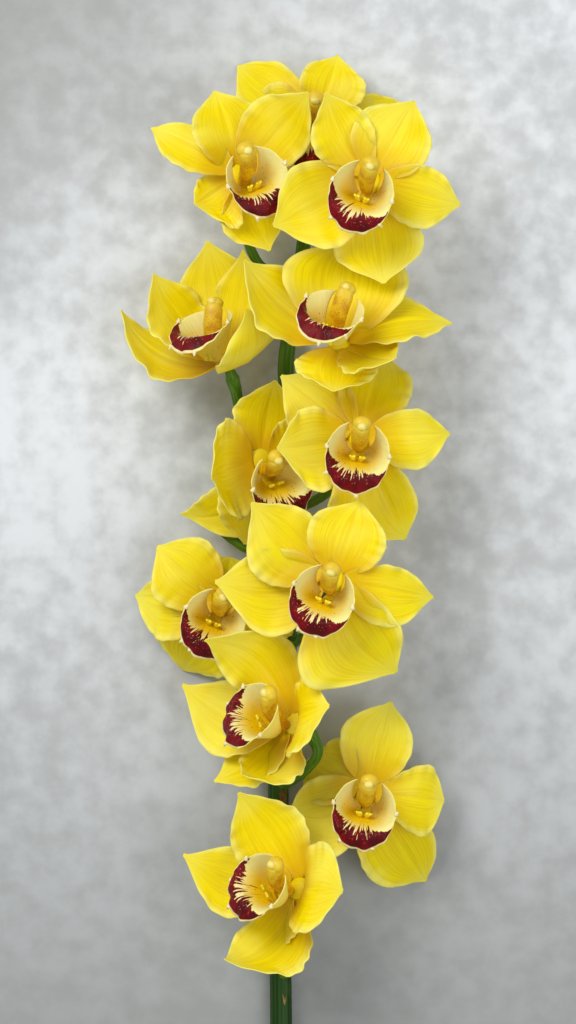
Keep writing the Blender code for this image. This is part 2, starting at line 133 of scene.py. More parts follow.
def tepal(tip, bow=1.0, kind="sepal", **shape):
    """One blade: where its tip is in mm, bow 1 curls it forward and -1 back."""
    blade = {
        "tip": tip,
        "bow": bow,
        "slack": TEPAL_SLACK,
        "width": SEPAL_WIDTH if kind == "sepal" else PETAL_WIDTH,
        "forward": 0.0 if kind == "sepal" else PETAL_FORWARD,
        "cup": TEPAL_CUP_DEG,
        "halves": (1.0, 1.0),
        "peak": TEPAL_PEAK,
        "sweep": 0.0,
    }
    blade.update(shape)
    return blade


BLOOMS = {
    "a": {
        "centre": (18.0, 206.0, 25.0),
        "face": (-0.04, 0.15, 1.0),
        "up": (0.3, 0.95, 0.0),
        "route": ((15.0, 166.0, 10.0), (18.0, 186.0, 12.0)),
        "tepals": (
            tepal((30, 241, 16), -1, width=40, halves=(0.7, 1.0)),
            tepal((-23, 237, 0.6), -1, "petal", halves=(1.0, 0.7)),
            tepal((67, 215, 0.6), -1, "petal", halves=(0.45, 1.0)),
            tepal((-16, 204, 12), -1),
            tepal((38, 180, 12), -1),
        ),
    },
    "b": {
        "centre": (-22.0, 176.0, 53.0),
        "face": (0.2, 0.22, 0.95),
        "up": (-0.44, 0.93, 0.0),
        "route": ((11.0, 126.0, 12.0), (-12.0, 131.0, 24.0)),
        "tepals": (
            tepal((-35, 220, 42), -1, halves=(0.9, 1.0)),
            tepal((-68, 201, 38), -1, "petal", width=34, halves=(0.85, 0.6)),
            tepal((14, 217, 70), 1, "petal"),
            tepal((-45, 160, 60), 1, slack=1.08, width=32, halves=(1.4, 0.6)),
            tepal((-6, 136, 50), 1, width=36),
        ),
    },
    "c": {
        "centre": (46.0, 171.0, 76.0),
        "face": (-0.05, 0.07, 1.0),
        "up": (0.33, 0.94, 0.0),
        "route": ((12.0, 136.0, 13.0), (34.0, 140.0, 36.0)),
        "tepals": (
            tepal((69, 213, 62), -1, width=40, peak=0.47),
            tepal((23, 216, 80), 1, "petal", halves=(1.0, 0.75)),
            tepal((93, 159, 66), -1, "petal", halves=(0.75, 1.0)),
            tepal((-4, 147, 86), 1, width=46),
            tepal((53, 118, 72), 1, width=46, peak=0.62),
        ),
    },
    "d": {
        "centre": (-29.0, 81.0, 32.0),
        "face": (-0.27, 0.87, 0.42),
        "up": (0.38, 0.37, -0.53),
        "route": ((4.0, 30.0, 9.0), (-18.0, 44.0, 18.0)),
        "tepals": (
            tepal((-39, 143, 16), 1, width=44, peak=0.58),
            tepal((-67, 125, 30), 1, "petal", width=38, halves=(1.2, 0.9), peak=0.58),
            tepal((-20, 138, 26), 1, "petal"),
            tepal((-84, 106, 28), 1, slack=1.12, halves=(1.4, 0.8), peak=0.42),
            tepal((-18, 105, 70), 1, slack=1.15),
        ),
    },
    "e": {
        "centre": (30.0, 90.0, 65.0),
        "face": (0.06, 0.75, 0.65),
        "up": (0.5, 0.54, -0.67),
        "route": ((3.0, 60.0, 10.0), (14.0, 68.0, 26.0)),
        "tepals": (
            tepal((36, 141, 42), -1, width=64, peak=0.58),
            tepal((-19, 130, 70), 1, "petal", width=46, halves=(1.2, 1.0)),
            tepal((89, 98, 52), -1, "petal", halves=(0.9, 1.0)),
            tepal((27, 62, 82), 1),
            tepal((59, 79, 84), 1),
        ),
    },
    "f": {
        "centre": (41.0, 39.0, 60.0),
        "face": (0.0, 0.05, 1.0),
        "up": (0.14, 0.98, 0.0),
        "route": ((4.7, 0.0, 8.6), (26.0, 12.0, 30.0)),
        "tepals": (
            tepal((54, 83, 28), -1, width=38),
            tepal((0, 71, 52), 1, "petal"),
            tepal((88, 41, 48), -1, "petal", halves=(0.7, 1.0)),
            tepal((-2, 33, 72), 1, halves=(1.2, 0.9)),
            tepal((65, -14, 46), -1, width=46, halves=(0.6, 1.45), peak=0.6),
        ),
    },
    "g": {
        "centre": (-10.0, 27.0, 34.0),
        "face": (0.3, -0.1, 0.95),
        "up": (-0.25, 0.95, 0.2),
        "route": ((3.0, -28.0, 8.3), (-10.0, -22.0, 13.0), (-22.0, -17.0, 15.0), (-33.0, -3.0, 13.0)),
        "tepals": (
            tepal((-3, 69, 36), 1, halves=(0.9, 1.0)),
            tepal((-36, 18, 66), 1, "petal", width=52),
            tepal((15, 34, 24), -1, "petal"),
            tepal((-53, -1, 18), -1, width=30, sweep=-12),
            tepal((-19, -17, 25), -1),
        ),
    },
    "h": {
        "centre": (27.0, -35.0, 76.0),
        "face": (-0.08, 0.04, 1.0),
        "up": (0.35, 0.93, 0.0),
        "route": ((4.0, -72.0, 7.5), (14.0, -62.0, 34.0)),
        "tepals": (
            tepal((41, 6, 72), -1, width=40),
            tepal((-15, 5, 74), 1, "petal", width=42, halves=(1.2, 0.75)),
            tepal((79, -44, 64), -1, "petal", halves=(0.65, 1.05)),
            tepal((-34, -36, 72), 1, sweep=-6, width=44),
            tepal((60, -83, 62), -1, width=48, halves=(0.9, 1.4), peak=0.55, sweep=7),
        ),
    },
    "i": {
        "centre": (-31.0, -47.0, 34.0),
        "face": (0.0, 0.0, 1.0),
        "up": (0.37, 0.93, 0.0),
        "route": ((2.0, -90.0, 7.1), (-18.0, -76.0, 9.0)),
        "tepals": (
            tepal((-65, -18, 24), -1, halves=(1.0, 0.9)),
            tepal((-77, -44, 10), -1, "petal", halves=(1.2, 0.6)),
            tepal((-27, -24, 6), -1, "petal", width=30),
            tepal((-52, -84, 0.6), -1, peak=0.55),
            tepal((6, -64, 28), -1),
        ),
    },
    "j": {
        "centre": (6.0, -109.0, 54.0),
        "face": (-0.53, 0.44, 0.72),
        "up": (0.71, 0.49, 0.22),
        "route": ((-1.0, -146.0, 7.0), (10.0, -138.0, 28.0), (19.0, -127.0, 40.0)),
        "tepals": (
            tepal((-39, -66, 75), 1, sweep=10, width=36, cup=(18.0, 8.0)),
            tepal((-35, -141, 40), 1, width=34),
            tepal((-52, -91, 22), 1, "petal", width=40, sweep=-8, cup=(18.0, 8.0)),
            tepal((25, -100, 74), -1, "petal", slack=1.2, width=42, halves=(0.8, 1.3)),
            tepal((-20, -136, 66), 1, slack=1.25),
        ),
    },
    "k": {
        "centre": (45.0, -147.0, 34.0),
        "face": (0.0, 0.09, 1.0),
        "up": (0.16, 0.98, 0.0),
        "route": ((-1.0, -206.0, 6.8), (20.0, -187.0, 9.0), (34.0, -167.0, 10.0)),
        "tepals": (
            tepal((58, -100, 22), -1, halves=(1.0, 0.8)),
            tepal((14, -131, 16), -1, "petal"),
            tepal((86, -152, 20), -1, "petal", width=40, halves=(0.85, 1.0), peak=0.65),
            tepal((4, -157, 26), -1, sweep=-8),
            tepal((77, -196, 0.6), -1, halves=(0.8, 1.15)),
        ),
    },
    "l": {
        "centre": (8.0, -195.0, 54.0),
        "face": (-0.48, 0.36, 0.8),
        "up": (0.78, 0.62, 0.19),
        "route": ((-1.0, -248.0, 6.2), (6.0, -237.0, 20.0), (11.0, -222.0, 34.0)),
        "tepals": (
            tepal((-22, -146, 54), 1),
            tepal((-51, -179, 44), 1, "petal", width=36, sweep=-6),
            tepal((32, -196, 70), -1, "petal", slack=1.2, width=44, halves=(1.0, 1.2)),
            tepal((-10, -217, 34), 1),
            tepal((-29, -232, 64), 1, slack=1.25, halves=(1.4, 0.8)),
        ),
    },
}


def unit(vector):
    vector = np.asarray(vector, float)
    return vector / np.linalg.norm(vector)


def bloom_axes(bloom):
    """The bloom's own right, dorsal and facing directions."""
    face = unit(bloom["face"])
    up = np.asarray(bloom["up"], float)
    up = unit(up - face * (up @ face))
    return np.cross(up, face), up, face


def in_bloom(bloom, local):
    right, up, face = bloom_axes(bloom)
    return np.asarray(bloom["centre"], float) + local[0] * right + local[1] * up + local[2] * face


def turned_track(total, shares):
    """Headings and points of a unit-length plane curve that turns by total."""
    heading = total * shares
    steps = np.stack([np.cos(heading), np.sin(heading)], axis=1)
    middles = (steps[1:] + steps[:-1]) / 2
    track = np.concatenate([[[0.0, 0.0]], np.cumsum(middles, axis=0) / len(middles)])
    return steps, track


def midrib(base, tip, length, facing, bow, rows):
    """Points and tangents of a bent midrib of this length that runs from base to tip."""
    chord = tip - base
    reach = np.linalg.norm(chord)
    along = chord / reach
    forward = unit(facing - along * (facing @ along))
    shares = np.linspace(0.0, 1.0, MIDRIB_STEPS + 1)
    low, high = 0.0, MOST_TURN
    for _ in range(HALVINGS):
        total = (low + high) / 2
        steps, track = turned_track(total, shares)
        low, high = (total, high) if np.hypot(*track[-1]) * length > reach else (low, total)
    lean = math.atan2(track[-1, 1], track[-1, 0])
    scale = reach / np.hypot(*track[-1])
    turn = np.array([[math.cos(lean), -math.sin(lean)], [math.sin(lean), math.cos(lean)]])
    track = track @ turn * scale
    steps = steps @ turn
    side = forward * bow
    points, tangents = [], []
    for share in row_shares(rows):
        u = [np.interp(share, shares, track[:, i]) for i in (0, 1)]
        t = [np.interp(share, shares, steps[:, i]) for i in (0, 1)]
        points.append(base + along * u[0] + side * u[1])
        tangents.append(unit(along * t[0] + side * t[1]))
    return np.array(points), np.array(tangents)


def half_width(share, width, peak):
    """An ovate blade: narrower at its foot, widest at the share called peak, with a blunt point."""
    power = TEPAL_FOOT_POWER if share < peak else TEPAL_TIP_POWER
    body = (1.0 - abs(2.0 * share ** (math.log(0.5) / math.log(peak)) - 1.0) ** TEPAL_SHOULDER) ** power
    foot = TEPAL_BASE_SHARE * (1.0 - share) ** 2
    return width / 2 * (body + foot + TEPAL_TIP_SHARE * share**6)


def row_shares(rows):
    """Shares of the length at which a blade has its rows, closer together towards the tip."""
    return 1.0 - (1.0 - np.linspace(0.0, 1.0, rows)) ** TEPAL_TIP_CROWDING


def blade_points(bloom, blade, rows, columns):
    """A grid of points, rows along the midrib and columns across, in mm."""
    face = bloom_axes(bloom)[2]
    centre = np.asarray(bloom["centre"], float)
    tip = np.asarray(blade["tip"], float)
    outward = tip - centre
    outward = unit(outward - face * (outward @ face))
    base = centre + outward * ROOT_RADIUS - face * (HUB_DROP - blade["forward"])
    length = blade["slack"] * np.linalg.norm(tip - base)
    points, tangents = midrib(base, tip, length, face, blade["bow"], rows)
    across = unit(np.cross(tip - base, face))
    grid = []
    for i, share in enumerate(row_shares(rows)):
        tangent = tangents[i]
        side = unit(across - tangent * (across @ tangent))
        normal = np.cross(side, tangent)
        width = half_width(share, blade["width"], blade["peak"])
        cup = math.radians(blade["cup"][0] * (1 - share) + blade["cup"][1] * share)
        middle = points[i] + across * blade["sweep"] * math.sin(math.pi * share)
        line = []
        for v in np.linspace(-1.0, 1.0, columns):
            bend = cup * v
            half = width * blade["halves"][1 if v > 0 else 0]
            reach = half * math.sin(bend) / cup
            turn = 2 * math.pi * RIPPLE_WAVES * share + blade["phase"]
            wave = math.sin(turn + RIPPLE_OFFSET if v > 0 else turn)
            rise = half * (1 - math.cos(bend)) / cup
            rise += RIPPLE_MM * abs(v) ** RIPPLE_POWER * wave * math.sin(math.pi * share)
            line.append(middle + side * reach + normal * rise)
        grid.append(line)
    return np.array(grid)


def lip_point(share, angle):
    """The lip's bowl in the bloom's own frame: share 0 at its root to 1 at its rim, angle 0 at the chin."""
    pivot = np.array(LIP_PIVOT)
    rim = np.array(LIP_RIM_CENTRE)
    chin = max(0.0, math.cos(angle)) ** LIP_CHIN_POWER
    radius = LIP_RIM_RADIUS + LIP_CHIN_EXTRA * math.cos(angle) ** 2
    spread = share ** (LIP_SPREAD_POWER + LIP_CHIN_SPREAD * chin)
    flare = max(0.0, (share - LIP_RECURVE_START) / (1.0 - LIP_RECURVE_START))
    spread -= LIP_LOBE_CURL * (1 - chin) * flare**2
    centre = pivot + (rim - pivot) * np.array([1.0, share, 1.0])
    out = np.array([math.sin(angle), -math.cos(angle), 0.0])
    reach = LIP_WALL_REACH + LIP_CHIN_REACH * chin
    rise = math.sin(min(share * reach, 1.0) * math.pi / 2) ** LIP_WALL_POWER
    height = (rim[2] - pivot[2]) * rise
    height -= LIP_RECURVE * chin * flare**LIP_RECURVE_POWER
    height += LIP_LOBE_LIFT * (1 - chin) * share**2
    return np.array([centre[0], centre[1], pivot[2] + height]) + out * radius * spread


def lip_angles(share, columns):
    """Angles across the lip at this share: its side lobes close round the column towards the rim."""
    root, rim = LIP_OPENING_DEG
    opening = math.radians(rim + (root - rim) * (1.0 - share) ** LIP_OPENING_POWER)
    return np.linspace(-math.pi + opening, math.pi - opening, columns)


def lip_grid(bloom, rows, columns):
    grid = []
    for share in np.linspace(LIP_ROOT_SHARE, 1.0, rows):
        line = []
        angles = lip_angles(share, columns)
        for angle in angles:
            # The ends of the side lobes are rounded off.
            fade = abs(angle) / angles[-1]
            reach = share * (1.0 - LIP_LOBE_FADE * fade**LIP_LOBE_POWER)
            line.append(in_bloom(bloom, lip_point(reach, angle)))
        grid.append(line)
    return np.array(grid)


def smooth_path(points, count):
    """Points of a Catmull-Rom curve through the given points."""
    points = np.asarray(points, float)
    padded = np.concatenate([[2 * points[0] - points[1]], points, [2 * points[-1] - points[-2]]])
    path = []
    for share in np.linspace(0, len(points) - 1, count):
        i = min(int(share), len(points) - 2)
        t = share - i
        p0, p1, p2, p3 = padded[i : i + 4]
        path.append(
            0.5
            * (
                2 * p1
                + (p2 - p0) * t
                + (2 * p0 - 5 * p1 + 4 * p2 - p3) * t**2
                + (3 * p1 - p0 - 3 * p2 + p3) * t**3
            )
        )
    return np.array(path)


def pedicel_path(bloom):
    """From inside the spike, out and up to the back of the bloom's hub."""
    face = bloom_axes(bloom)[2]
    back = in_bloom(bloom, (0.0, 0.0, -HUB_DROP - HUB_RADII[2] - SEAT_GAP))
    way = smooth_path((*bloom["route"], back - face * NECK_MM, back - face * SEAT_MM), PEDICEL_POINTS)
    return np.concatenate([way, [back]])


# Fine grids, as rows and columns or as points along.
TEPAL_GRID = (46, 31)
LIP_GRID = (40, 101)
BRACT_GRID = (16, 13)
BALL_GRID = (14, 24)
STEM_RINGS = 90
STEM_SIDES = 28
PEDICEL_POINTS = 26
PEDICEL_SIDES = 18
COLUMN_POINTS = 22
CALLUS_POINTS = 10
PRONG_POINTS = 6

# Sheet thickness in mm, at the midrib or root and at the edge.
TEPAL_SHEET = (1.0, 0.45)
LIP_SHEET = (1.0, 0.5)
BRACT_SHEET = 0.45

# A tepal's fine ripple and the groove along its midrib, in mm.
FINE_RIPPLE_MM = 0.75
FINE_RIPPLE_WAVES = 6.3
FINE_RIPPLE_SPREAD = 1.5
FINE_RIPPLE_OFFSET = 2.1
FINE_RIPPLE_POWER = 4
GROOVE_MM = 0.7
GROOVE_WIDTH = 0.07
GROOVE_REACH = 1.1

# The frill of a lip's rim, and the small points on it, in mm and radians.
SCALLOP_MM = 0.8
SCALLOPS = 11.0
SCALLOP_OVERTONE = 1.7
SCALLOP_START = 0.62
NUB_ANGLES = (-1.75, 1.7)
NUB_RADII = (1.3, 1.1, 0.45)
NUB_LENGTH = 1.9
NUB_SINK = 0.6

# The ridges inside a lip and their forked heads, in mm.
CALLUS_BOW = 1.2
CALLUS_RADII = (1.5, 1.25)
PRONG_REACH = (1.3, 0.4, 2.2)
PRONG_RADII = (1.15, 0.55)

# The column's taper, its hood and its anther cap, in mm. Insets keep the tubes inside their solids.
COLUMN_SHARES = (0.0, 0.5, 0.86, 1.0)
COLUMN_END_RADIUS = 4.2
COLUMN_INSET = 0.96
COLUMN_RIDGES = (-0.07, 3)
HOOD_RADII = (4.7, 3.9, 3.6)
CAP_RADII = (2.5, 2.2, 2.0)

# The spike, the pedicels and the bracts, in mm. Tone runs from the dark foot to the light top.
STEM_INSET = 0.985
STEM_RIDGES = (0.02, 7)
PEDICEL_INSET = 0.98
PEDICEL_RIDGES = (0.05, 3)
TONE_START_Y = -300.0
TONE_SPAN = 560.0
TOP_TONE = 0.75
BRACT_SINK = 1.5
BRACT_TIP_SINK = 0.2
BRACT_ROOT_UP = 3.0
BRACT_HALF_WIDTH = 3.6
BRACT_TIP_HALF_WIDTH = 0.2
BRACT_TAPER = 1.6
BRACT_BEND = 1.2
BRACT_CURL = 0.35

# A tube's ends, and a direction that no tube starts along.
TUBE_DOME = 0.3
TUBE_REFERENCE = (0.31, 0.22, 0.93)

# Random draws: which one a lip or bract takes, and the spans of phases and of noise seeds.
LIP_DRAW = 7
BRACT_DRAW = 9
DRAWN_TURN = 6.28
SEED_SPAN = 40

# Surfaces, with lengths in metres.
PETAL_ROUGHNESS = (0.42, 0.55)
BUMP_DISTANCE = 0.0008
SUBSURFACE_RADIUS = (1.0, 0.75, 0.15)
SUBSURFACE_SCALE = 0.0022

# The photograph's size and scale, and the camera and floor in metres.
PIXEL_MM = 0.52
PHOTO_WIDTH, PHOTO_HEIGHT = 576, 1024
SPIKE_PIXEL_X = 281
CAMERA_ABOVE = 2.5
FOCUS_Z = 0.055
SENSOR_MM = 36.0
FLOOR_HALF = 3.0

# Light: a large soft lamp at the upper left, a weaker one at the lower right, and a pale room.
KEY_LIGHT = {
    "place": (-1.5, 1.7, 2.6),
    "aim": (0, 0.05, 0),
    "size": 1.7,
    "power": 74.0,
    "colour": (1.0, 1.0, 0.98),
}
FILL_LIGHT = {
    "place": (1.5, -0.7, 2.6),
    "aim": (0, -0.05, 0),
    "size": 1.8,
    "power": 30.0,
    "colour": (0.95, 0.97, 1.0),
}
ROOM_COLOUR = (0.95, 0.97, 1.0, 1.0)
ROOM_STRENGTH = 0.46


# Mesh building.


def metres(points):
    """Points in mm of the drawing's frame, as metres of the part's frame."""
    return (np.asarray(points, float) - (ORIGIN_X_MM, ORIGIN_Y_MM, ORIGIN_Z_MM)) * MM


class Shape:
    """Points, faces and point values gathered for one mesh."""

    def __init__(self):
        self.points, self.faces, self.slots = [], [], []
        self.values = {}
        self.count = 0

    def add(self, points, faces, slot=0, **values):
        points = np.asarray(points, float).reshape(-1, 3)
        self.points.append(points)
        self.faces.extend([tuple(i + self.count for i in face) for face in faces])
        self.slots.extend([slot] * len(faces))
        for name in set(self.values) | set(values):
            held = self.values.setdefault(name, [np.zeros(self.count)] if self.count else [])
            held.append(np.broadcast_to(values.get(name, 0.0), (len(points),)).astype(float))
        self.count += len(points)

    def build(self, name, materials):
        mesh = bpy.data.meshes.new(name)
        mesh.from_pydata(metres(np.concatenate(self.points)).tolist(), [], self.faces)
        for material in materials:
            mesh.materials.append(material)
        mesh.polygons.foreach_set("material_index", self.slots)
        mesh.polygons.foreach_set("use_smooth", [True] * len(mesh.polygons))
        for key, chunks in self.values.items():
            attribute = mesh.attributes.new(key, "FLOAT", "POINT")
            attribute.data.foreach_set("value", np.concatenate(chunks).astype(np.float32))
        mesh.update()
        made = bpy.data.objects.new(name, mesh)
        bpy.context.scene.collection.objects.link(made)
        return made


def grid_normals(grid):
    normal = np.cross(np.gradient(grid, axis=0), np.gradient(grid, axis=1))
    size = np.linalg.norm(normal, axis=2, keepdims=True)
    return normal / np.maximum(size, 1e-9)


def sheet_faces(rows, columns):
    """Quads of a closed thin sheet: its front grid, its back grid and the rim between them."""
    index = np.arange(rows * columns).reshape(rows, columns)
    a, b, c, d = index[:-1, :-1], index[:-1, 1:], index[1:, 1:], index[1:, :-1]
    front = np.stack([a, b, c, d], axis=-1).reshape(-1, 4)
    back = front[:, ::-1] + rows * columns
    loop = np.concatenate([index[0, :-1], index[:-1, -1], index[-1, :0:-1], index[:0:-1, 0]])
    after = np.roll(loop, -1)
    rim = np.stack([loop, loop + rows * columns, after + rows * columns, after], axis=-1)
    return np.concatenate([front, back, rim]).tolist()


def add_sheet(shape, grid, thickness, slot=0, **values):
    """A closed sheet through a grid of points, with its thickness and point values over that grid."""
    normal = grid_normals(grid)
    half = np.asarray(thickness)[..., None] / 2
    rows, columns = grid.shape[:2]
    count = rows * columns
    both = [(grid - normal * half).reshape(-1, 3), (grid + normal * half).reshape(-1, 3)]
    doubled = {
        key: np.tile(np.broadcast_to(value, (rows, columns)).ravel(), 2) for key, value in values.items()
    }
    front = np.concatenate([np.ones(count), np.zeros(count)])
    shape.add(np.concatenate(both), sheet_faces(rows, columns), slot, front=front, **doubled)


def ridged(depth, ridges):
    """A factor on a tube's radius that rises and falls this many times round it."""
    return lambda angles: 1.0 + depth * np.cos(ridges * angles)


def add_tube(shape, points, radii, sides, slot=0, profile=None, **values):
    """A tube with closed, domed ends. profile gives a factor on the radius for each angle."""
    points = np.asarray(points, float)
    radii = np.asarray(radii, float)
    tangents = np.gradient(points, axis=0)
    tangents /= np.linalg.norm(tangents, axis=1, keepdims=True)
    side = unit(np.cross(tangents[0], TUBE_REFERENCE))
    angles = np.linspace(0.0, 2 * math.pi, sides, endpoint=False)
    factor = np.ones(sides) if profile is None else profile(angles)
    rings = []
    for point, tangent, radius in zip(points, tangents, radii):
        side = unit(side - tangent * (side @ tangent))
        other = np.cross(tangent, side)
        ring = np.cos(angles)[:, None] * side + np.sin(angles)[:, None] * other
        rings.append(point + ring * radius * factor[:, None])
    count = len(rings)
    index = np.arange(count * sides).reshape(count, sides)
    after = np.roll(index, -1, axis=1)
    faces = np.stack([index[:-1], after[:-1], after[1:], index[1:]], axis=-1).reshape(-1, 4).tolist()
    first, last = count * sides, count * sides + 1
    faces += [(first, after[0, j], index[0, j]) for j in range(sides)]
    faces += [(last, index[-1, j], after[-1, j]) for j in range(sides)]
    ends = [
        points[0] - tangents[0] * radii[0] * TUBE_DOME,
        points[-1] + tangents[-1] * radii[-1] * TUBE_DOME,
    ]
    shares = np.concatenate([np.repeat(np.linspace(0, 1, count), sides), [0.0, 1.0]])
    around = np.concatenate([np.tile(angles / (2 * math.pi), count), [0.0, 0.0]])
    made = np.concatenate([np.concatenate(rings), ends])
    shape.add(made, faces, slot, along=shares, around=around, **values)


def add_ball(shape, centre, radii, axes, slot=0, **values):
    """An ellipsoid with its three half-axes along the given directions."""
    rings, segments = BALL_GRID
    polar = np.linspace(0, math.pi, rings + 1)[1:-1]
    turn = np.linspace(0, 2 * math.pi, segments, endpoint=False)
    local = [(0.0, 0.0, 1.0)]
    local += [(math.sin(p) * math.cos(t), math.sin(p) * math.sin(t), math.cos(p)) for p in polar for t in turn]
    local.append((0.0, 0.0, -1.0))
    points = np.asarray(centre, float) + (np.array(local) * radii) @ np.array(axes)
    faces = [(0, 1 + j, 1 + (j + 1) % segments) for j in range(segments)]
    for i in range(len(polar) - 1):
        for j in range(segments):
            a = 1 + i * segments + j
            b = 1 + i * segments + (j + 1) % segments
            faces.append((a, a + segments, b + segments, b))
    end, base = len(local) - 1, 1 + (len(polar) - 1) * segments
    faces += [(end, base + (j + 1) % segments, base + j) for j in range(segments)]
    shape.add(points, faces, slot, **values)


# Materials. Their point values are: along and across a tepal from 0 to 1 and from -1 to 1; along and angle
# of a lip; along and around a tube; front, 1 on a sheet's front and 0 on its back; blade, a seed; and tone.


class Nodes:
    """Short calls for a material's node tree."""

    def __init__(self, name):
        self.material = bpy.data.materials.new(name)
        self.material.use_nodes = True
        self.tree = self.material.node_tree
        self.shader = self.tree.nodes["Principled BSDF"]

    def link(self, value, socket):
        if isinstance(value, bpy.types.NodeSocket):
            self.tree.links.new(value, socket)
        else:
            socket.default_value = value

    def attribute(self, name):
        node = self.tree.nodes.new("ShaderNodeAttribute")
        node.attribute_name = name
        return node.outputs["Fac"]

    def maths(self, operation, a, b=0.0):
        node = self.tree.nodes.new("ShaderNodeMath")
        node.operation = operation
        self.link(a, node.inputs[0])
        self.link(b, node.inputs[1])
        return node.outputs[0]

    def plus(self, a, b):
        return self.maths("ADD", a, b)

    def minus(self, a, b):
        return self.maths("SUBTRACT", a, b)

    def times(self, a, b):
        return self.maths("MULTIPLY", a, b)

    def size(self, a):
        return self.maths("ABSOLUTE", a)

    def place(self):
        return self.tree.nodes.new("ShaderNodeNewGeometry").outputs["Position"]

    def place_parts(self):
        """The X, Y and Z of the place, in metres."""
        node = self.tree.nodes.new("ShaderNodeSeparateXYZ")
        self.link(self.place(), node.inputs[0])
        return node.outputs

    def noise(self, vector, scale, detail):
        node = self.tree.nodes.new("ShaderNodeTexNoise")
        self.link(vector, node.inputs["Vector"])
        node.inputs["Scale"].default_value = scale
        node.inputs["Detail"].default_value = detail
        return node.outputs["Fac"]

    def streaks(self, x, y, seed, stretch, detail):
        """Noise over two point values, each stretched by its own factor."""
        node = self.tree.nodes.new("ShaderNodeCombineXYZ")
        for value, socket in zip((self.times(x, stretch[0]), self.times(y, stretch[1]), seed), node.inputs):
            self.link(value, socket)
        return self.noise(node.outputs[0], 1.0, detail)

    def step(self, value, low, high, to_low=0.0, to_high=1.0):
        """A smooth step from to_low at the value low to to_high at the value high."""
        node = self.tree.nodes.new("ShaderNodeMapRange")
        node.interpolation_type = "SMOOTHSTEP"
        for key, number in (("Value", value), ("From Min", low), ("From Max", high)):
            self.link(number, node.inputs[key])
        node.inputs["To Min"].default_value = to_low
        node.inputs["To Max"].default_value = to_high
        return node.outputs["Result"]

    def mix(self, share, a, b):
        node = self.tree.nodes.new("ShaderNodeMix")
        node.data_type = "RGBA"
        self.link(share, node.inputs[0])
        self.link(a, node.inputs[6])
        self.link(b, node.inputs[7])
        return node.outputs[2]

    def bump(self, height, strength, distance=BUMP_DISTANCE):
        node = self.tree.nodes.new("ShaderNodeBump")
        node.inputs["Strength"].default_value = strength
        node.inputs["Distance"].default_value = distance
        self.link(height, node.inputs["Height"])
        self.link(node.outputs[0], self.shader.inputs["Normal"])

    def drifting(self, noise, roughness):
        """A roughness that drifts between two values with the noise."""
        return self.step(noise, 0.3, 0.7, *roughness)

    def surface(self, colour, roughness, subsurface, specular):
        self.link(colour, self.shader.inputs["Base Color"])
        self.link(roughness, self.shader.inputs["Roughness"])
        self.shader.inputs["Specular IOR Level"].default_value = specular
        if subsurface:
            self.shader.inputs["Subsurface Weight"].default_value = subsurface
            self.shader.inputs["Subsurface Radius"].default_value = SUBSURFACE_RADIUS
            self.shader.inputs["Subsurface Scale"].default_value = SUBSURFACE_SCALE
        return self.material


def rgb(red, green, blue):
    """A display colour from 0 to 255, as the linear colour that a node takes."""

    def linear(value):
        value /= 255.0
        return value / 12.92 if value <= 0.04045 else ((value + 0.055) / 1.055) ** 2.4

    return (linear(red), linear(green), linear(blue), 1.0)


def tepal_material():
    gold, deep_gold = rgb(245, 223, 2), rgb(233, 203, 0)
    pale_cloud, painted_glow_margin, painted_light_tip = rgb(248, 234, 96), rgb(250, 238, 130), rgb(248, 236, 110)
    foot, midrib, underside = rgb(220, 176, 0), rgb(228, 196, 20), rgb(238, 228, 70)
    n = Nodes("tepal_yellow_veined")
    along, across = n.attribute("along"), n.attribute("across")
    away = n.size(across)
    veins = n.streaks(across, along, n.attribute("blade"), (26.0, 2.2), 3.0)
    cloud = n.noise(n.place(), 26.0, 2.0)
    body = n.mix(n.step(veins, 0.3, 0.75), gold, deep_gold)
    body = n.mix(n.step(cloud, 0.46, 0.66, 0.0, 0.45), body, pale_cloud)
    # Painted light: margins and tips are paler, as if light shone through the thin sheet there.
    body = n.mix(n.step(away, 0.74, 1.0, 0.0, 0.65), body, painted_glow_margin)
    body = n.mix(n.step(along, 0.7, 1.0, 0.0, 0.4), body, painted_light_tip)
    # Painted shade: each blade turns deeper, oranger gold towards its foot, where the blades shade one another
    # near the lip.
    body = n.mix(n.step(along, 0.5, 0.02, 0.0, 0.9), body, foot)
    body = n.mix(n.step(away, 0.05, 0.0, 0.0, 0.3), body, midrib)
    body = n.mix(n.step(n.attribute("front"), 0.8, 0.2, 0.0, 0.25), body, underside)
    n.bump(n.plus(veins, n.times(cloud, 0.35)), 0.12)
    return n.surface(body, n.drifting(cloud, PETAL_ROUGHNESS), 0.3, 0.18)


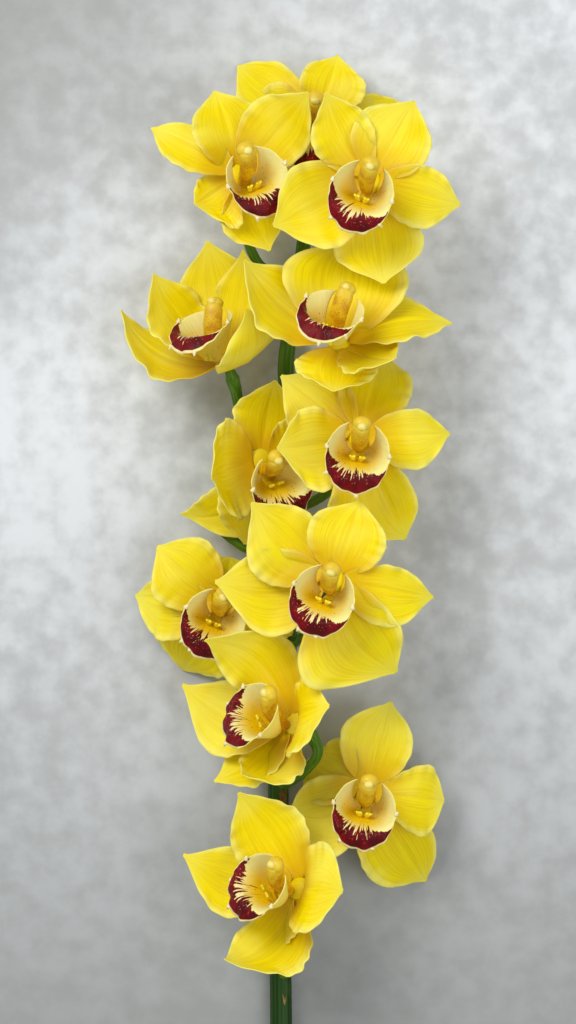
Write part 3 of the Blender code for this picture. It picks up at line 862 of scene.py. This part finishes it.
def lip_material():
    cream, throat, side_lobe = rgb(244, 232, 146), rgb(236, 198, 10), rgb(244, 234, 150)
    blush, outside_wall = rgb(240, 205, 178), rgb(240, 222, 90)
    deep_maroon, maroon, fleck = rgb(84, 0, 8), rgb(122, 2, 14), rgb(110, 30, 20)
    n = Nodes("lip_cream_maroon")
    share, angle, seed = n.attribute("along"), n.attribute("angle"), n.attribute("blade")
    front = n.attribute("front")
    away = n.size(n.plus(angle, 0.1))
    wobble = n.streaks(angle, share, seed, (9.0, 2.0), 3.0)
    streak = n.streaks(angle, share, seed, (42.0, 2.6), 2.0)
    dots = n.streaks(angle, share, seed, (48.0, 22.0), 1.0)

    # The crescent runs from a streaky inner limit, furthest in at the chin, to just short of the rim.
    inner = n.plus(n.step(away, 0.24, 0.62, 0.0, 0.5), 0.51)
    inner = n.plus(inner, n.times(n.minus(wobble, 0.5), 0.16))
    streakiness = n.times(n.step(away, 0.36, 0.12, 0.12, 1.0), 1.25)
    inner = n.plus(inner, n.times(n.minus(streak, 0.5), streakiness))
    outer = n.plus(0.945, n.times(n.minus(wobble, 0.5), 0.06))
    past_inner = n.step(n.minus(share, inner), -0.012, 0.012)
    before_outer = n.step(n.minus(outer, share), -0.008, 0.008)
    crescent = n.times(past_inner, before_outer)
    pale_dots = n.times(n.step(dots, 0.66, 0.7), n.step(share, 0.86, 0.7))
    crescent = n.times(crescent, n.minus(1.0, n.times(pale_dots, 0.25)))
    crescent = n.times(crescent, n.step(front, 0.3, 0.7, 0.12, 1.0))

    wall = n.mix(n.step(share, 0.62, 0.26), cream, throat)
    wall = n.mix(n.step(away, 0.3, 0.62, 0.0, 0.5), wall, side_lobe)
    wall = n.mix(n.times(n.step(share, 0.3, 0.6), n.step(away, 0.34, 0.1, 0.0, 0.3)), wall, blush)
    wall = n.mix(n.step(front, 0.7, 0.3, 0.0, 0.6), wall, outside_wall)
    colour = n.mix(crescent, wall, n.mix(n.step(wobble, 0.35, 0.65), deep_maroon, maroon))
    flecks = n.times(n.step(dots, 0.71, 0.73), n.step(share, 0.5, 0.4))
    colour = n.mix(n.times(flecks, 0.8), colour, fleck)
    n.bump(n.plus(streak, wobble), 0.3, 0.001)
    return n.surface(colour, n.drifting(wobble, PETAL_ROUGHNESS), 0.15, 0.18)


def column_material():
    amber, gold, pale_end, speck = rgb(206, 150, 6), rgb(228, 188, 16), rgb(234, 202, 50), rgb(150, 70, 14)
    n = Nodes("column_yellow_specked")
    along = n.attribute("along")
    cloud = n.noise(n.place(), 220.0, 3.0)
    dots = n.noise(n.place(), 1500.0, 1.0)
    colour = n.mix(n.step(cloud, 0.35, 0.65), amber, gold)
    colour = n.mix(n.step(along, 0.7, 1.0, 0.0, 0.7), colour, pale_end)
    specks = n.times(n.step(dots, 0.62, 0.66), n.step(along, 0.9, 0.75, 0.0, 0.7))
    colour = n.mix(specks, colour, speck)
    n.bump(cloud, 0.2)
    return n.surface(colour, 0.42, 0.2, 0.4)


def stem_material():
    foot_dark, foot_light = rgb(10, 40, 3), rgb(24, 68, 8)
    top_dark, top_light, pale_cloud = rgb(72, 116, 14), rgb(110, 150, 28), rgb(100, 140, 40)
    n = Nodes("stem_green_striped")
    tone = n.attribute("tone")
    stripes = n.streaks(n.attribute("around"), n.attribute("along"), tone, (34.0, 5.0), 3.0)
    cloud = n.noise(n.place(), 60.0, 3.0)
    foot = n.mix(n.step(stripes, 0.4, 0.62), foot_dark, foot_light)
    top = n.mix(n.step(stripes, 0.4, 0.62), top_dark, top_light)
    colour = n.mix(tone, foot, top)
    colour = n.mix(n.step(cloud, 0.45, 0.75, 0.0, 0.2), colour, pale_cloud)
    n.bump(stripes, 0.35)
    return n.surface(colour, n.drifting(cloud, PETAL_ROUGHNESS), 0.05, 0.22)


def floor_material():
    grey, light_grey = rgb(194, 196, 197), rgb(224, 227, 230)
    painted_shade_bottom_grey, painted_shade_corner_grey = rgb(138, 139, 136), rgb(150, 150, 146)
    n = Nodes("floor_mottled_grey")
    x, y, _ = n.place_parts()
    broad = n.noise(n.place(), 6.0, 8.0)
    fine = n.noise(n.place(), 75.0, 10.0)
    mottle = n.plus(n.times(broad, 0.5), n.times(fine, 0.5))
    colour = n.mix(n.step(mottle, 0.36, 0.62), grey, light_grey)
    # Painted shade: the floor darkens towards the bottom and towards the upper left corner, as the light falls
    # off.
    colour = n.mix(n.step(y, 0.15, -0.3, 0.0, 0.9), colour, painted_shade_bottom_grey)
    colour = n.mix(n.step(n.minus(y, x), 0.24, 0.5, 0.0, 0.8), colour, painted_shade_corner_grey)
    n.bump(mottle, 0.02)
    return n.surface(colour, 0.8, 0.0, 0.1)


def plain_material(name, low, high, scale, roughness, subsurface=0.2, relief=0.2, specular=0.4):
    """A colour that drifts between two shades, with fine relief."""
    n = Nodes(name)
    cloud = n.noise(n.place(), scale, 4.0)
    colour = n.mix(n.step(cloud, 0.36, 0.64), low, high)
    n.bump(cloud, relief)
    return n.surface(colour, n.drifting(cloud, (roughness - 0.06, roughness + 0.06)), subsurface, specular)


# Pieces.


def blade_random(key, i):
    """A seeded source of draws for one blade, lip or bract of one bloom."""
    return np.random.default_rng(ord(key) * 10 + i)


def fine_tepal(shape, bloom, key, i, blade):
    """One blade with a fine ripple along its margins and a groove along its midrib."""
    rows, columns = TEPAL_GRID
    blade["phase"] = RIPPLE_STEP * i + ord(key)
    grid = blade_points(bloom, blade, rows, columns)
    share = row_shares(rows)[:, None]
    v = np.linspace(-1.0, 1.0, columns)[None, :]
    draw = blade_random(key, i)
    waves = FINE_RIPPLE_WAVES + draw.uniform(-FINE_RIPPLE_SPREAD, FINE_RIPPLE_SPREAD)
    phase = draw.uniform(0, DRAWN_TURN) + np.where(v > 0, FINE_RIPPLE_OFFSET, 0.0)
    swell = FINE_RIPPLE_MM * np.abs(v) ** FINE_RIPPLE_POWER
    ripple = swell * np.sin(2 * math.pi * waves * share + phase) * np.sin(math.pi * share)
    groove = -GROOVE_MM * np.exp(-((v / GROOVE_WIDTH) ** 2))
    groove = groove * np.sin(math.pi * np.minimum(share * GROOVE_REACH, 1.0))
    grid = grid + grid_normals(grid) * -(ripple + groove)[..., None]
    thinning = np.maximum(np.abs(v) ** 3, share**4)
    thickness = TEPAL_SHEET[0] + (TEPAL_SHEET[1] - TEPAL_SHEET[0]) * thinning
    add_sheet(shape, grid, thickness, along=share, across=v, blade=draw.uniform(0, SEED_SPAN))


def make_tepals(key, bloom, material):
    shape = Shape()
    for i, blade in enumerate(bloom["tepals"]):
        fine_tepal(shape, bloom, key, i, blade)
    hub = in_bloom(bloom, (0.0, 0.0, -HUB_DROP))
    add_ball(shape, hub, HUB_RADII, bloom_axes(bloom), front=1.0, along=0.45, across=0.5)
    dress(shape.build(f"tepals_{key}", [material]), "tepals", f"bloom_{key}_tepals")


def add_lip_bowl(shape, bloom, draw):
    """The lip's sheet with its frilled rim. Returns its grid and the angles at its rim."""
    rows, columns = LIP_GRID
    shares = np.linspace(LIP_ROOT_SHARE, 1.0, rows)
    # The columns are turned round, so that the front of the sheet is the inside of the bowl.
    angles = np.array([lip_angles(share, columns) for share in shares])[:, ::-1]
    grid = lip_grid(bloom, rows, columns)[:, ::-1]
    share = shares[:, None]
    phase = draw.uniform(0, DRAWN_TURN)
    lobe = np.clip(1.2 - np.abs(angles) / 2.1, 0.15, 1.0)
    wave = np.sin(SCALLOPS * angles + phase)
    wave = wave + 0.5 * np.sin(SCALLOPS * SCALLOP_OVERTONE * angles + 2 * phase)
    rise = np.maximum(0.0, (share - SCALLOP_START) / (1 - SCALLOP_START)) ** 2
    grid = grid - grid_normals(grid) * (SCALLOP_MM * lobe * wave * rise)[..., None]
    thickness = LIP_SHEET[0] + (LIP_SHEET[1] - LIP_SHEET[0]) * share**3
    thickness = np.broadcast_to(thickness, (rows, columns))
    seed = draw.uniform(0, SEED_SPAN)
    add_sheet(shape, grid, thickness, along=share, angle=angles / math.pi, blade=seed)
    return grid, angles[-1]


def add_nubs(shape, grid, rim_angles, draw):
    """Short points on the rim, two at drawn places and two on the side lobes."""
    for target in (*draw.uniform(-1.0, 1.0, 2), *NUB_ANGLES):
        j = int(np.argmin(np.abs(rim_angles - target)))
        foot, inside = grid[-1, j], grid[-4, j]
        out = unit(foot - inside)
        add_tube(shape, (foot - out * NUB_SINK, foot, foot + out * NUB_LENGTH), NUB_RADII, 10, 1)


def add_calluses(shape, bloom):
    """Two ridges that rise inside the bowl, each with a forked head."""
    foot, head = np.array(CALLUS_FOOT), np.array(CALLUS_HEAD)
    middle = (foot + head) / 2
    middle[0] = foot[0] * CALLUS_BOW
    for side in (-1, 1):
        mirrored = np.array([side, 1, 1])
        path = [in_bloom(bloom, point * mirrored) for point in (foot, middle, head)]
        radii = np.linspace(*CALLUS_RADII, CALLUS_POINTS)
        add_tube(shape, smooth_path(path, CALLUS_POINTS), radii, 14, 2)
        for lean in (-1.0, 1.0):
            prong = in_bloom(bloom, head * mirrored + (lean * PRONG_REACH[0], *PRONG_REACH[1:]))
            way = smooth_path((path[-1], (path[-1] + prong) / 2, prong), PRONG_POINTS)
            add_tube(shape, way, np.linspace(*PRONG_RADII, PRONG_POINTS), 12, 2)


def make_lip(key, bloom, materials):
    shape = Shape()
    draw = blade_random(key, LIP_DRAW)
    grid, rim_angles = add_lip_bowl(shape, bloom, draw)
    add_nubs(shape, grid, rim_angles, draw)
    add_calluses(shape, bloom)
    dress(shape.build(f"lip_{key}", materials), "lip", f"bloom_{key}_lip")


def make_column(key, bloom, materials):
    shape = Shape()
    axes = bloom_axes(bloom)
    _, up, face = axes
    path = smooth_path([in_bloom(bloom, p) for p in (COLUMN_FOOT, COLUMN_KNEE, COLUMN_END)], COLUMN_POINTS)
    radii = np.interp(np.linspace(0, 1, COLUMN_POINTS), COLUMN_SHARES, (*COLUMN_RADII, COLUMN_END_RADIUS))
    add_tube(shape, path, radii * COLUMN_INSET, 26, 0, ridged(*COLUMN_RIDGES))
    end = in_bloom(bloom, COLUMN_END)
    add_ball(shape, end + up * 0.9 - face * 0.6, HOOD_RADII, axes, 0, along=1.0)
    add_ball(shape, end - up * 0.9 + face * 2.0, CAP_RADII, axes, 1)
    dress(shape.build(f"column_{key}", materials), "column", f"bloom_{key}_column")


def add_bract(shape, points, key):
    """A dry, pointed scale that clasps the foot of a pedicel."""
    foot, first = points[0], points[2]
    draw = blade_random(key, BRACT_DRAW)
    out = unit([first[0] - foot[0], 0.0, first[2] - foot[2]])
    root = foot + out * (BRACT_SEAT - BRACT_SINK) + np.array([0.0, BRACT_ROOT_UP, 0.0])
    tip = foot + out * (BRACT_SEAT - BRACT_TIP_SINK) - np.array([0.0, BRACT_LENGTH, 0.0])
    side = unit(np.cross(tip - root, out))
    rows, columns = BRACT_GRID
    grid = np.zeros((rows, columns, 3))
    for i, share in enumerate(np.linspace(0, 1, rows)):
        half = BRACT_HALF_WIDTH * (1 - share**BRACT_TAPER) + BRACT_TIP_HALF_WIDTH
        middle = root + (tip - root) * share
        for j, v in enumerate(np.linspace(-1, 1, columns)):
            bend = BRACT_BEND * v
            curl = BRACT_CURL * math.sin(5 * v + 7 * share + draw.uniform(0, 0.3))
            drop = half * (1 - math.cos(bend)) - curl
            grid[i, j] = middle + side * half * math.sin(bend) / BRACT_BEND - out * drop
    thickness = np.full((rows, columns), BRACT_SHEET)
    add_sheet(shape, grid, thickness, 1, along=np.linspace(0, 1, rows)[:, None])


def make_stem(materials):
    shape = Shape()
    path = smooth_path(STEM_PATH, STEM_RINGS)
    radii = np.linspace(STEM_FOOT_RADIUS, STEM_TOP_RADIUS, STEM_RINGS)
    tone = np.clip((path[:, 1] - TONE_START_Y) / TONE_SPAN, 0.0, TOP_TONE)
    tone = np.concatenate([np.repeat(tone, STEM_SIDES), [0.0, TOP_TONE]])
    add_tube(shape, path, radii * STEM_INSET, STEM_SIDES, 0, ridged(*STEM_RIDGES), tone=tone)
    for key, bloom in BLOOMS.items():
        points = pedicel_path(bloom)
        radii = np.interp(np.linspace(0, 1, len(points)), PEDICEL_SHARES, PEDICEL_RADII) * PEDICEL_INSET
        add_tube(shape, points, radii, PEDICEL_SIDES, 0, ridged(*PEDICEL_RIDGES), tone=TOP_TONE)
        add_bract(shape, points, key)
    dress(shape.build("spike_and_pedicels", materials), "stem", "stem")


def dress(piece, slot, *nodes):
    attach(piece, "root")
    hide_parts(*nodes)


# Stage.


def make_camera():
    """Looks straight down from the photograph's middle, with its pixels PIXEL_MM apart at the blooms."""
    data = bpy.data.cameras.new("camera")
    data.sensor_fit = "VERTICAL"
    data.sensor_height = SENSOR_MM
    data.lens = SENSOR_MM * CAMERA_ABOVE / (PHOTO_HEIGHT * PIXEL_MM * MM)
    camera = bpy.data.objects.new("camera", data)
    x = (PHOTO_WIDTH / 2 - SPIKE_PIXEL_X) * PIXEL_MM - ORIGIN_X_MM
    camera.location = (x * MM, -ORIGIN_Y_MM * MM, CAMERA_ABOVE + FOCUS_Z)
    bpy.context.scene.collection.objects.link(camera)
    bpy.context.scene.camera = camera


def make_light(name, place, aim, size, power, colour):
    data = bpy.data.lights.new(name, "AREA")
    data.shape = "SQUARE"
    data.size = size
    data.energy = power
    data.color = colour
    light = bpy.data.objects.new(name, data)
    light.location = place
    light.rotation_euler = (Vector(place) - Vector(aim)).to_track_quat("Z", "Y").to_euler()
    bpy.context.scene.collection.objects.link(light)


def make_stage():
    corners = [(x * FLOOR_HALF, y * FLOOR_HALF, 0) for x, y in ((-1, -1), (1, -1), (1, 1), (-1, 1))]
    mesh = bpy.data.meshes.new("floor")
    mesh.from_pydata(corners, [], [(0, 1, 2, 3)])
    mesh.materials.append(floor_material())
    floor = bpy.data.objects.new("floor", mesh)
    bpy.context.scene.collection.objects.link(floor)
    world = bpy.data.worlds.new("soft_room")
    bpy.context.scene.world = world
    world.use_nodes = True
    background = world.node_tree.nodes["Background"]
    background.inputs["Color"].default_value = ROOM_COLOUR
    background.inputs["Strength"].default_value = ROOM_STRENGTH
    make_light("key_light", **KEY_LIGHT)
    make_light("fill_light", **FILL_LIGHT)


def main():
    tepal_look = tepal_material()
    nub_look = plain_material("nub_cream", rgb(246, 226, 160), rgb(248, 236, 190), 400.0, 0.45)
    callus_look = plain_material("callus_yellow", rgb(240, 212, 20), rgb(248, 230, 60), 300.0, 0.42)
    cap_look = plain_material("cap_cream", rgb(236, 210, 90), rgb(244, 226, 130), 300.0, 0.45)
    bract_brown, bract_tan = rgb(112, 86, 42), rgb(164, 134, 76)
    bract_look = plain_material("bract_papery_brown", bract_brown, bract_tan, 160.0, 0.7, 0.0, 0.5, 0.2)
    lip_looks = [lip_material(), nub_look, callus_look]
    column_looks = [column_material(), cap_look]
    make_stem([stem_material(), bract_look])
    for key, bloom in BLOOMS.items():
        make_tepals(key, bloom, tepal_look)
        make_lip(key, bloom, lip_looks)
        make_column(key, bloom, column_looks)
    make_stage()
    make_camera()
    bpy.context.scene.view_settings.view_transform = "Standard"


main()
